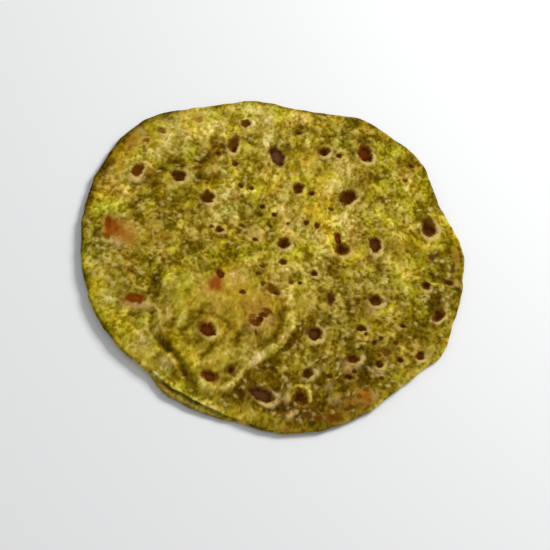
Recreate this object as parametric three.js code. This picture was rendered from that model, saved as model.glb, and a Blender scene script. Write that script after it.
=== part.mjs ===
// A green paratha: a pan-fried flatbread a hand's length across, with herbs in its dough.
// Millimetres, +Z up. The bread lies on z = 0 with its bounding box centred on the Z axis.
//
// The solid starts as a box with a grid on each side. Its triangles are halved where the
// bread has detail, then every point of the box is carried to its place on the bread:
// the box's top becomes the upper face, its sides the rim and its bottom the underside.

import * as THREE from 'three';
import { mergeVertices } from 'three/addons/utils/BufferGeometryUtils.js';

// Driving dimensions, in millimetres and degrees.
const rimRadius = 100.5; // circle that the lobes of the rim stand out from
const sheetThickness = 2.8; // at the middle
const rimThickness = 2.3; // where the dough was rolled thinner, at the rim
const thinnedBand = 14; // width of that thinner band
const rimRounding = 1.6; // how far in from the rim its rounding starts
const flatReach = 0.5; // share of the radius that lies flat on the table
const curlReach = 1.05; // share of the radius where the rim's curl would level out
const restingLift = 0.7; // how far the lowest parts of the rim stand off the table
const rimRelief = 0.35; // share of the waves and bumps that is left at the rim

// Where the rolled outline stands out from the circle, or in from it.
const outlineLobes = [
  { at: 8, out: 0.9, spread: 6 },
  { at: 21, out: 2.9, spread: 9 },
  { at: 36, out: -1.2, spread: 5 },
  { at: 58, out: 7.6, spread: 11 },
  { at: 75, out: 6.2, spread: 8 },
  { at: 98, out: -4.2, spread: 9 },
  { at: 111, out: -0.6, spread: 7 },
  { at: 128, out: -4.6, spread: 15 },
  { at: 147, out: 4.2, spread: 19 },
  { at: 200, out: -1.8, spread: 20 },
  { at: 228, out: 0.3, spread: 12 },
  { at: 253, out: -2.7, spread: 17 },
  { at: 272, out: -1.3, spread: 11 },
  { at: 290, out: 3.3, spread: 18 },
  { at: 325, out: -2.4, spread: 10 },
  { at: 335, out: -1.3, spread: 5 },
  { at: 344, out: 1.7, spread: 6 },
];

// Where the rim curls up off the table.
const liftLobes = [
  { at: 35, out: 0.7, spread: 22 },
  { at: 120, out: 0.9, spread: 26 },
  { at: 222, out: 1.7, spread: 42 },
  { at: 318, out: 0.8, spread: 20 },
];

// Long shallow waves in the sheet.
const waves = [
  { height: 0.34, length: 61, heading: 15, start: 40 },
  { height: 0.3, length: 43, heading: 82, start: 150 },
  { height: 0.24, length: 29, heading: 133, start: 260 },
  { height: 0.19, length: 21, heading: 48, start: 15 },
  { height: 0.15, length: 15, heading: 168, start: 200 },
  { height: 0.12, length: 12, heading: 105, start: 95 },
];

// The puffed part, a pocket that filled with steam and sank back.
const puff = { x: -15, y: -51, across: 34, along: 39, turn: -18, height: 4.1, squareness: 4 };

// Lines where the sheet folded as the pocket sank: raised rolls and sunk creases.
const foldFade = 0.4; // how bluntly a fold ends: less is blunter
const folds = [
  {
    name: 'roll round the right of the puffed part',
    height: 1.1,
    width: 2.6,
    route: [[11, -21], [17.3, -31], [21, -42], [18.2, -53], [11, -65], [5, -77], [-2, -88], [-14, -90]],
  },
  {
    name: 'crease under the left of the puffed part',
    height: -1.3,
    width: 2.2,
    route: [[-50, -52], [-46, -63], [-42, -71], [-34, -76.5], [-25, -82], [-20, -87.5], [-11, -93]],
  },
  {
    name: 'lip outside that crease',
    height: 0.6,
    width: 2.4,
    route: [[-51, -60], [-41, -77], [-29, -84.5]],
  },
];

// The rim is split in two leaves here, and the lower one reaches further out.
const split = {
  opens: 243, // degrees, going anticlockwise
  full: 256,
  closes: 259,
  ends: 283,
  reach: 4.1, // how far the lower leaf stands out
  depth: 3.2, // how far the gap runs in
};

// Blisters: a raised ring round a sunken charred middle. Sizes are those of the middle.
// A ring's place and width and a pit's reach are shares of the middle's radius.
const ring = { height: 0.55, at: 1.35, width: 0.4 };
const pit = { depth: 0.6, reach: 0.9 };
const fullBlister = 6; // width from which a blister has all its height
const blisters = [
  { x: 28.8, y: 48.2, across: 8.6, along: 11.4, turn: -28 },
  { x: 75.4, y: 44.8, across: 7.6, along: 11.4, turn: 30 },
  { x: 31, y: 80, across: 8.6, along: 11, turn: 30 },
  { x: -14, y: 59.4, across: 6.8, along: 12.6, turn: 28 },
  { x: -38.7, y: 58, across: 5.2, along: 10.3, turn: 3 },
  { x: -36.4, y: 74.4, across: 6, along: 4.6, turn: 10 },
  { x: -41.6, y: 18.9, across: 7, along: 7.2, turn: 0 },
  { x: -59.9, y: 26.2, across: 6.6, along: 6.4, turn: 0 },
  { x: -81.3, y: 20.8, across: 5.4, along: 8.2, turn: 0 },
  { x: -30, y: 1.8, across: 4.2, along: 4, turn: 0 },
  { x: 4, y: 6, across: 6.4, along: 7, turn: 0 },
  { x: 2.2, y: 43.2, across: 5.4, along: 7.6, turn: -5 },
  { x: 9.3, y: 72.4, across: 6.4, along: 5, turn: 30 },
  { x: 34.3, y: 14.2, across: 7.4, along: 6.8, turn: 30 },
  { x: 50, y: 23.3, across: 5.8, along: 9.4, turn: 28 },
  { x: 57.8, y: -10, across: 6.6, along: 6.2, turn: -30 },
  { x: 81.4, y: 8.2, across: 4.4, along: 4.4, turn: 0 },
  { x: 91.5, y: -6.3, across: 5, along: 8.6, turn: -15 },
  { x: 24, y: -6, across: 4, along: 3.8, turn: 0 },
  { x: 6.4, y: -24, across: 7.4, along: 5, turn: -10 },
  { x: 32.8, y: -40.4, across: 8.4, along: 7.8, turn: 0 },
  { x: 54.9, y: -28.4, across: 4.8, along: 4, turn: 10 },
  { x: 54.9, y: -48, across: 5.6, along: 4.6, turn: 0 },
  { x: 68, y: -46, across: 4.2, along: 4.2, turn: 0 },
  { x: 35.3, y: -64, across: 5.4, along: 4.8, turn: 0 },
  { x: 35.2, y: -77.8, across: 8, along: 8, turn: 0 },
  { x: 17, y: -83.4, across: 12, along: 6.6, turn: -5 },
  { x: -9.6, y: -83.4, across: 8.4, along: 5, turn: 8 },
  { x: 3.4, y: -45, across: 5.4, along: 7.6, turn: -25 },
  { x: 6.7, y: -41, across: 5.4, along: 5, turn: 25 },
  { x: -18.2, y: -59.8, across: 8.2, along: 6.5, turn: -12 },
  { x: -56.8, y: -54.2, across: 8.6, along: 5, turn: 8 },
];

// How fine the faces are: the longest edge allowed in each place.
const gridSquares = 20;
const rimLoops = 6;
const halvings = 4;
const longestEdge = { top: 8, fold: 3.4, rim: 5.2, split: 3.4, underside: 15 };
const blisterEdge = { share: 0.42, least: 2.2, reach: 1.8 };

const degrees = Math.PI / 180;
const { hypot, cos, sin, max, min, abs, exp, PI } = Math;
const smooth = THREE.MathUtils.smoothstep;
const mix = THREE.MathUtils.lerp;

// Sum of soft bumps placed round a circle, at an angle in degrees.
function lobeSum(lobes, angle) {
  let sum = 0;
  for (const lobe of lobes) {
    const turn = THREE.MathUtils.euclideanModulo(angle - lobe.at + 180, 360) - 180;
    sum += lobe.out * exp(-((turn / lobe.spread) ** 2));
  }
  return sum;
}

// Height of the long waves at a place on the sheet.
function waveHeight(x, y) {
  let sum = 0;
  for (const wave of waves) {
    const along = x * cos(wave.heading * degrees) + y * sin(wave.heading * degrees);
    sum += wave.height * sin((2 * PI * along) / wave.length + wave.start * degrees);
  }
  return sum;
}

// Distance from an oval's middle, as a share of the distance to its edge.
function ovalShare(oval, x, y, halfAcross, halfAlong) {
  const c = cos(oval.turn * degrees);
  const s = sin(oval.turn * degrees);
  const across = (x - oval.x) * c + (y - oval.y) * s;
  const along = (y - oval.y) * c - (x - oval.x) * s;
  return hypot(across / halfAcross, along / halfAlong);
}

function puffHeight(x, y) {
  const share = ovalShare(puff, x, y, puff.across, puff.along);
  return puff.height * exp(-(share ** puff.squareness));
}

// Points along each fold, from end to end.
for (const fold of folds) {
  const corners = fold.route.map(([x, y]) => new THREE.Vector2(x, y));
  fold.points = new THREE.SplineCurve(corners).getPoints(60);
}

// Distance to a fold, and how far along it that is, from 0 to 1.
function nearestOnFold(fold, x, y) {
  let distance = Infinity;
  let share = 0;
  fold.points.forEach((point, index) => {
    const away = hypot(point.x - x, point.y - y);
    if (away < distance) {
      distance = away;
      share = index / (fold.points.length - 1);
    }
  });
  return { distance, share };
}

// Folds rise and die away at their ends.
function foldHeight(x, y) {
  let sum = 0;
  for (const fold of folds) {
    const { distance, share } = nearestOnFold(fold, x, y);
    const fade = sin(PI * share) ** foldFade;
    sum += fold.height * fade * exp(-((distance / fold.width) ** 2));
  }
  return sum;
}

// Distance from a blister's middle, as a share of the charred middle's own radius.
function blisterShare(blister, x, y) {
  return ovalShare(blister, x, y, blister.across / 2, blister.along / 2);
}

function blisterHeight(x, y) {
  let sum = 0;
  for (const blister of blisters) {
    const share = blisterShare(blister, x, y);
    const size = min(1, min(blister.across, blister.along) / fullBlister);
    const raised = ring.height * exp(-(((share - ring.at) / ring.width) ** 2));
    const sunk = pit.depth * exp(-((share / pit.reach) ** 4));
    sum += size * (raised - sunk);
  }
  return sum;
}

function fromPolar(radius, angle) {
  return [radius * cos(angle * degrees), radius * sin(angle * degrees)];
}

function angleOf(x, y) {
  return THREE.MathUtils.euclideanModulo(Math.atan2(y, x) / degrees, 360);
}

// Radius of the upper leaf's rim at an angle in degrees.
function rimAt(angle) {
  return rimRadius + lobeSum(outlineLobes, angle);
}

// How far the rim is split at an angle, from 0 to 1.
function splitShare(angle) {
  return smooth(angle, split.opens, split.full) * (1 - smooth(angle, split.closes, split.ends));
}

// Height of the underside over the table: flat in the middle, curling up to the rim.
function undersideAt(x, y) {
  const angle = angleOf(x, y);
  const share = hypot(x, y) / rimAt(angle);
  const curl = smooth(share, flatReach, curlReach);
  return curl * (restingLift + lobeSum(liftLobes, angle));
}

// Height of the upper face.
function topAt(x, y) {
  const inFromRim = rimAt(angleOf(x, y)) - hypot(x, y);
  const inside = smooth(inFromRim, 0, thinnedBand);
  const thickness = mix(rimThickness, sheetThickness, inside);
  const relief = waveHeight(x, y) + puffHeight(x, y) + foldHeight(x, y) + blisterHeight(x, y);
  return undersideAt(x, y) + thickness + relief * mix(rimRelief, 1, inside);
}

// Section of the split rim, from the upper face down to the underside. The first number is
// how far it stands out from the rim, and the second the share of the height.
const splitSection = new THREE.SplineCurve([
  new THREE.Vector2(-rimRounding, 1),
  new THREE.Vector2(0, 0.84),
  new THREE.Vector2(-0.6, 0.66),
  new THREE.Vector2(-split.depth, 0.56),
  new THREE.Vector2(0.4, 0.46),
  new THREE.Vector2(split.reach, 0.3),
  new THREE.Vector2(split.reach - rimRounding, 0),
]);

// Offset from the rim and share of the height, from the top (0) to the underside (1).
function rimSection(share, angle) {
  const opened = splitShare(angle);
  const plainOut = rimRounding * (sin(PI * share) - 1);
  const plainUp = (1 + cos(PI * share)) / 2;
  const parted = splitSection.getPoint(share);
  return { out: mix(plainOut, parted.x, opened), up: mix(plainUp, parted.y, opened) };
}

// Angle on the bread of a place on the unit square, so that squares become rings.
function squareAngle(x, y) {
  if (x === 0 && y === 0) return 0;
  if (abs(x) >= abs(y)) {
    return (x > 0 ? 0 : 180) + (45 * y) / x;
  }
  return (y > 0 ? 90 : 270) - (45 * x) / y;
}

// Carries a point of the box, 2 x 2 x 1 and centred on 0, to its place on the bread.
function placeOnBread(point) {
  const reach = max(abs(point.x), abs(point.y));
  const angle = THREE.MathUtils.euclideanModulo(squareAngle(point.x, point.y), 360);
  const down = 0.5 - point.z;
  const section = rimSection(down, angle);
  const [x, y] = fromPolar(reach * (rimAt(angle) + section.out), angle);
  if (down === 0) return new THREE.Vector3(x, y, topAt(x, y));
  if (down === 1) return new THREE.Vector3(x, y, undersideAt(x, y));
  const topEdge = topAt(...fromPolar(rimAt(angle) + rimSection(0, angle).out, angle));
  const lowEdge = undersideAt(...fromPolar(rimAt(angle) + rimSection(1, angle).out, angle));
  return new THREE.Vector3(x, y, mix(lowEdge, topEdge, section.up));
}

// The longest edge allowed round a point of the box.
function wantedEdge(point) {
  const placed = placeOnBread(point);
  const down = 0.5 - point.z;
  if (down === 1) return longestEdge.underside;
  const angle = angleOf(placed.x, placed.y);
  if (down > 0) return mix(longestEdge.rim, longestEdge.split, splitShare(angle));
  let wanted = longestEdge.top;
  for (const fold of folds) {
    if (nearestOnFold(fold, placed.x, placed.y).distance < 2 * fold.width) wanted = longestEdge.fold;
  }
  for (const blister of blisters) {
    const fine = max(blisterEdge.least, blisterEdge.share * min(blister.across, blister.along));
    const isNear = blisterShare(blister, placed.x, placed.y) < blisterEdge.reach;
    if (isNear) wanted = min(wanted, fine);
  }
  return wanted;
}

// Cuts every edge that is longer than wanted at its middle, so neighbours still share corners.
function halveLongEdges(points, faces) {
  const middles = new Map();
  const middleOf = (a, b) => {
    const key = a < b ? `${a} ${b}` : `${b} ${a}`;
    if (!middles.has(key)) {
      const middle = points[a].clone().lerp(points[b], 0.5);
      const length = placeOnBread(points[a]).distanceTo(placeOnBread(points[b]));
      const isLong = length > wantedEdge(middle);
      middles.set(key, isLong ? points.push(middle) - 1 : null);
    }
    return middles.get(key);
  };
  const finer = [];
  for (const face of faces) {
    const cuts = [0, 1, 2].map((side) => middleOf(face[side], face[(side + 1) % 3]));
    finer.push(...cutFace(face, cuts, points));
  }
  return finer;
}

// The smaller faces of one triangle whose sides are cut, or not (null), at the given points.
function cutFace(face, cuts, points) {
  const count = cuts.filter((cut) => cut !== null).length;
  if (count === 0) return [face];
  if (count === 3) {
    const [a, b, c] = face;
    const [ab, bc, ca] = cuts;
    return [[a, ab, ca], [ab, b, bc], [ca, bc, c], [ab, bc, ca]];
  }
  // Turned so that side 0 is cut, and side 2 is not.
  let turn = 0;
  while (cuts[turn] === null || cuts[(turn + 2) % 3] !== null) turn += 1;
  const [a, b, c] = [0, 1, 2].map((side) => face[(side + turn) % 3]);
  const [ab, bc] = [cuts[turn], cuts[(turn + 1) % 3]];
  if (count === 1) return [[a, ab, c], [ab, b, c]];
  const acrossFromA = placeOnBread(points[a]).distanceTo(placeOnBread(points[bc]));
  const acrossFromC = placeOnBread(points[c]).distanceTo(placeOnBread(points[ab]));
  if (acrossFromA < acrossFromC) return [[ab, b, bc], [a, ab, bc], [a, bc, c]];
  return [[ab, b, bc], [a, ab, c], [ab, bc, c]];
}

// The gridded box, with the corners of its six sides joined.
function boxBlank() {
  const box = new THREE.BoxGeometry(2, 2, 1, gridSquares, gridSquares, rimLoops);
  box.deleteAttribute('normal');
  box.deleteAttribute('uv');
  const merged = mergeVertices(box, 1e-5);
  const position = merged.getAttribute('position');
  const points = [];
  for (let i = 0; i < position.count; i += 1) {
    points.push(new THREE.Vector3().fromBufferAttribute(position, i));
  }
  const faces = [];
  for (let i = 0; i < merged.index.count; i += 3) {
    faces.push([0, 1, 2].map((corner) => merged.index.getX(i + corner)));
  }
  return { points, faces };
}

function breadGeometry() {
  const blank = boxBlank();
  let faces = blank.faces;
  for (let pass = 0; pass < halvings; pass += 1) {
    faces = halveLongEdges(blank.points, faces);
  }
  const geometry = new THREE.BufferGeometry().setFromPoints(blank.points.map(placeOnBread));
  geometry.setIndex(faces.flat());
  geometry.computeBoundingBox();
  const middle = geometry.boundingBox.getCenter(new THREE.Vector3());
  geometry.translate(-middle.x, -middle.y, 0);
  geometry.computeVertexNormals();
  return geometry;
}

const dough = new THREE.MeshStandardMaterial({ color: 0x927b26, roughness: 0.72, metalness: 0 });

const paratha = new THREE.Mesh(breadGeometry(), dough);
paratha.name = 'paratha';

const bread = new THREE.Group();
bread.add(paratha);

export default bread;
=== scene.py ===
import math
import random

import bmesh
import bpy
import numpy as np
from mathutils import Matrix, Vector, kdtree, noise


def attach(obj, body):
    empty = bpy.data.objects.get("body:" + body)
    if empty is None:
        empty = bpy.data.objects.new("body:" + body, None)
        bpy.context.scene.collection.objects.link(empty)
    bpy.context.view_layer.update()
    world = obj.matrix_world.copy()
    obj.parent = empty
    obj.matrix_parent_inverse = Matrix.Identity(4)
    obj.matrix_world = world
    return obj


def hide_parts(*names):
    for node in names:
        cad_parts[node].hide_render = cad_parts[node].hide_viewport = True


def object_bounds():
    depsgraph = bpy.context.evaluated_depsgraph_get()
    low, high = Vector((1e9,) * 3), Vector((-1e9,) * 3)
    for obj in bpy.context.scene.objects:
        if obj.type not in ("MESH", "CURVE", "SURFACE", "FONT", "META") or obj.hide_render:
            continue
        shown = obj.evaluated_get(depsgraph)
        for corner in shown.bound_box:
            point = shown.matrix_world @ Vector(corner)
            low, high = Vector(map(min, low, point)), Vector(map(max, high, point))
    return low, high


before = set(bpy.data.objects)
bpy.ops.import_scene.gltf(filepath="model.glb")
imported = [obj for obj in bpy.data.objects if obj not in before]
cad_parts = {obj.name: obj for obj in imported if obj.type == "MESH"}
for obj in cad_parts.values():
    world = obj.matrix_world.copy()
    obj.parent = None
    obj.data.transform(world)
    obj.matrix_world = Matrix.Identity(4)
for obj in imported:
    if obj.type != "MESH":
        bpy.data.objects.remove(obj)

mm = 0.001
cadLow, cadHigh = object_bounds()
print("frame loaded, the bread's box is", [round(side / mm, 1) for side in cadHigh - cadLow], "mm")


def smoothStep(value, low, high):
    share = np.clip((value - low) / (high - low), 0, 1)
    return share * share * (3 - 2 * share)


def mix(low, high, share):
    return low + (high - low) * share


def bell(value, squareness=2):  # 1 where the value is 0, fading to both sides
    return np.exp(-(np.abs(value) ** squareness))


def paint(red, green, blue):  # a screen colour, 0 to 255, as Blender's linear values
    shades = [shade / 255 for shade in (red, green, blue)]
    linear = [s / 12.92 if s <= 0.04045 else ((s + 0.055) / 1.055) ** 2.4 for s in shades]
    return (*linear, 1)


def link(item):
    bpy.context.scene.collection.objects.link(item)
    return item


cameraView = {
    "lookAt": (4.8, -13.7, 0),  # mm
    "elevation": 56.5,  # degrees above the table
    "roll": 18.2,  # how far the table looks turned clockwise
    "distance": 680,  # mm
    "lens": 86.5,  # mm
    "sensor": 36,
    "clip": (0.01, 20),  # m
}


def makeCamera():
    elevation = math.radians(cameraView["elevation"])
    roll = math.radians(cameraView["roll"])
    back = Vector((0, -math.cos(elevation), math.sin(elevation)))
    level = Vector((1, 0, 0))
    upright = back.cross(level)
    right = level * math.cos(roll) + upright * math.sin(roll)
    up = upright * math.cos(roll) - level * math.sin(roll)
    data = bpy.data.cameras.new("camera")
    data.lens = cameraView["lens"]
    data.sensor_width = cameraView["sensor"]
    data.clip_start, data.clip_end = cameraView["clip"]
    camera = link(bpy.data.objects.new("camera", data))
    turned = Matrix((right, up, back)).transposed().to_4x4()
    place = (Vector(cameraView["lookAt"]) + back * cameraView["distance"]) * mm
    camera.matrix_world = Matrix.Translation(place) @ turned
    bpy.context.scene.camera = camera


makeCamera()


# Lengths are in mm and angles in degrees. The form repeats the sizes of the solid that the
# bread replaces, and the rest is finer than the solid. A soft noise is given by its height,
# size, seed and octaves, and a bend by its reach, size, two seeds and octaves.
bread = {
    "rimRadius": 100.5,
    "sheetThickness": 2.8,
    "rimThickness": 2.3,
    "thinnedBand": 14,
    "rimRounding": 1.6,
    "flatReach": 0.5,
    "curlReach": 1.05,
    "restingLift": 0.7,
    "rimRelief": 0.35,
    # angle, how far out, spread
    "outline": [
        (8, 0.9, 6), (21, 2.9, 9), (36, -1.2, 5), (58, 7.6, 11), (75, 6.2, 8), (98, -4.2, 9),
        (111, -0.6, 7), (128, -4.6, 15), (147, 4.2, 19), (200, -1.8, 20), (228, 0.3, 12),
        (253, -2.7, 17), (272, -1.3, 11), (290, 3.3, 18), (325, -2.4, 10), (335, -1.3, 5),
        (344, 1.7, 6),
    ],
    # how far out, times round, start: the rim's fine unevenness
    "ripple": [(0.2, 23, 17), (0.15, 41, 109), (0.11, 67, 229)],
    "lift": [(35, 0.7, 22), (120, 0.9, 26), (222, 1.7, 42), (318, 0.8, 20)],
    # height, length, heading, start
    "waves": [
        (0.34, 61, 15, 40), (0.3, 43, 82, 150), (0.24, 29, 133, 260),
        (0.19, 21, 48, 15), (0.15, 15, 168, 200), (0.12, 12, 105, 95),
    ],
    "puff": {"x": -15, "y": -51, "across": 34, "along": 39, "turn": -18, "height": 4.1, "squareness": 4},
    "puffSmoothing": 0.55,
    # pale is how much paler a fold is painted: on the roll partly the stretched dough's own colour and
    # partly a painted highlight on its lit slope, and below 0 on the crease painted shade
    "folds": [
        {   # roll round the right of the puffed part
            "height": 1.2, "width": 2.6, "pale": 1.02, "calm": 0.9,
            "route": [
                (11, -21), (17.3, -31), (21, -42), (18.2, -53), (11, -65), (5, -77), (-2, -88), (-14, -90),
            ],
        },
        {   # crease under its left
            "height": -0.9, "width": 2.0, "pale": -0.1, "calm": 0,
            "route": [
                (-50, -52), (-46, -63), (-42, -71), (-34, -76.5), (-25, -82), (-20, -87.5), (-11, -93),
            ],
        },
        {   # lip outside that crease
            "height": 0.5, "width": 2.4, "pale": 0.2, "calm": 0.5,
            "route": [(-51, -60), (-41, -77), (-29, -84.5)],
        },
    ],
    "foldFade": 0.4,
    "foldSteps": 60,  # places along a fold from which its sides are measured
    "foldBreaks": (0.45, 5, 113, 2),  # soft noise in how pale a fold is
    "split": {"opens": 243, "full": 256, "closes": 259, "ends": 283},
    # mm out from the rim, share of the height
    "splitSection": [
        (-1.6, 1), (0, 0.84), (-0.6, 0.66), (-3.0, 0.52), (0.2, 0.32), (1.6, 0.38), (3.3, 0.42),
        (4.1, 0.22), (2.5, 0),
    ],
    "drawnOut": 1.28,  # how much longer than wide every bump is, up the sheet
    "crumple": (0.3, 7.5, 3, 3),  # soft noise: broad lumps
    # crumbs, whose valleys are narrower than their tops: height, size, seed, octaves
    "crumb": [(0.24, 4.6, 11, 2), (0.11, 2.3, 19, 2)],
    "crumbShape": {"steep": 2, "soften": 0.01, "middle": 0.9, "round": 0.6, "plain": 0.8},
    "crumbBend": (3.0, 7, (51, 67), 1),
    "fleckHeight": 0.22,
    # long strokes on the puffed part, round a point to its left; the lines' size is a share of the width
    "streak": {
        "x": -64, "y": -40, "width": 2.5, "length": 8, "height": 0.3,
        "bend": (2.2, 14, 5, 1), "lines": (1, 31, 2),
    },
    # short strokes, and where they show: size, seed, octaves
    "stroke": {
        "height": 0.22, "thin": 0.15, "lines": (3.4, 71, 1), "gate": (4.4, 73, 1),
        "gateOpens": (-0.05, 0.25),
    },
    "gridSquares": 256,
    "rimLoops": 14,
}
fractal = (1.0, 2.0)  # how fast the octaves of a noise weaken, and how much finer each is


def splineAt(points, share):  # a smooth curve through the points, for shares from 0 to 1
    points = np.array(points, float)
    last = len(points) - 1
    place = np.clip(np.asarray(share, float), 0, 1) * last
    low = np.minimum(place.astype(int), last - 1)
    t = (place - low)[..., None]
    before = points[np.maximum(low - 1, 0)]
    start = points[low]
    end = points[low + 1]
    after = points[np.minimum(low + 2, last)]
    leave = (end - before) / 2
    arrive = (after - start) / 2
    cubic = 2 * start - 2 * end + leave + arrive
    square = 3 * end - 3 * start - 2 * leave - arrive
    return ((cubic * t + square) * t + leave) * t + start


def lobeSum(lobes, angle):
    total = np.zeros_like(angle)
    for at, out, spread in lobes:
        turn = (angle - at + 180) % 360 - 180
        total += out * bell(turn / spread)
    return total


def angleOf(x, y):
    return np.degrees(np.arctan2(y, x)) % 360


def rimAt(angle):
    radius = bread["rimRadius"] + lobeSum(bread["outline"], angle)
    for out, times, start in bread["ripple"]:
        radius += out * np.sin(np.radians(angle * times + start))
    return radius


def splitShare(angle):
    split = bread["split"]
    opened = smoothStep(angle, split["opens"], split["full"])
    return opened * (1 - smoothStep(angle, split["closes"], split["ends"]))


def undersideAt(x, y):
    angle = angleOf(x, y)
    share = np.hypot(x, y) / rimAt(angle)
    curl = smoothStep(share, bread["flatReach"], bread["curlReach"])
    return curl * (bread["restingLift"] + lobeSum(bread["lift"], angle))


def waveHeight(x, y):
    total = np.zeros_like(x)
    for height, length, heading, start in bread["waves"]:
        along = x * math.cos(math.radians(heading)) + y * math.sin(math.radians(heading))
        total += height * np.sin(2 * math.pi * along / length + math.radians(start))
    return total


def ovalFrame(x, y, middleX, middleY, turn=0):  # across and along a turned oval
    c = math.cos(math.radians(turn))
    s = math.sin(math.radians(turn))
    across = (x - middleX) * c + (y - middleY) * s
    along = (y - middleY) * c - (x - middleX) * s
    return across, along


def puffShare(x, y):  # 1 on the puffed part
    puff = bread["puff"]
    across, along = ovalFrame(x, y, puff["x"], puff["y"], puff["turn"])
    return bell(np.hypot(across / puff["across"], along / puff["along"]), puff["squareness"])


def foldProfile(fold, x, y):  # 1 on the fold, fading to its sides and ends
    steps = bread["foldSteps"]
    route = splineAt(fold["route"], np.linspace(0, 1, steps + 1))
    distance = np.full_like(x, np.inf)
    share = np.zeros_like(x)
    for step, (placeX, placeY) in enumerate(route):
        away = np.hypot(x - placeX, y - placeY)
        share = np.where(away < distance, step / steps, share)
        distance = np.minimum(away, distance)
    fading = np.clip(np.sin(math.pi * share), 0, 1) ** bread["foldFade"]
    return fading * bell(distance / fold["width"])


def noiseAt(x, y, size, seed, octaves):  # soft noise, about -1 to 1, with bumps of that size
    wide = size / math.sqrt(bread["drawnOut"])
    long = size * math.sqrt(bread["drawnOut"])
    places = zip((x / wide).tolist(), (y / long).tolist())
    return np.array([noise.fractal((px, py, seed), *fractal, octaves) for px, py in places])


def unevenAt(x, y, softNoise):
    height, *rest = softNoise
    return height * noiseAt(x, y, *rest)


def bentPlaces(x, y, bend):  # the same places, moved about a little
    reach, size, seeds, octaves = bend
    return [place + reach * noiseAt(x, y, size, seed, octaves) for place, seed in zip((x, y), seeds)]


def crumbHeight(x, y):
    shape = bread["crumbShape"]
    total = np.zeros_like(x)
    bentX, bentY = bentPlaces(x, y, bread["crumbBend"])
    for height, size, seed, octaves in bread["crumb"]:
        read = noiseAt(bentX, bentY, size, seed, octaves)
        lumps = shape["steep"] * np.sqrt(np.abs(read) + shape["soften"]) - shape["middle"]
        total += height * (shape["round"] * lumps + shape["plain"] * read)
    return total


def strokeShare(x, y):  # 1 on the crests of the short strokes
    stroke = bread["stroke"]
    bentX, bentY = bentPlaces(x, y, bread["crumbBend"])
    across = np.abs(noiseAt(bentX, bentY, *stroke["lines"]))
    crest = 1 - smoothStep(across, 0, stroke["thin"])
    return crest * smoothStep(noiseAt(x, y, *stroke["gate"]), *stroke["gateOpens"])


def streakShare(x, y):  # about -1 to 1 on the long strokes, which run up the puffed part in arcs
    streak = bread["streak"]
    radius = np.hypot(x - streak["x"], y - streak["y"])
    along = radius * np.arctan2(y - streak["y"], x - streak["x"]) / streak["length"]
    across = (radius + unevenAt(x, y, streak["bend"])) / streak["width"]
    return puffShare(x, y) * noiseAt(across, along, *streak["lines"])
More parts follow.
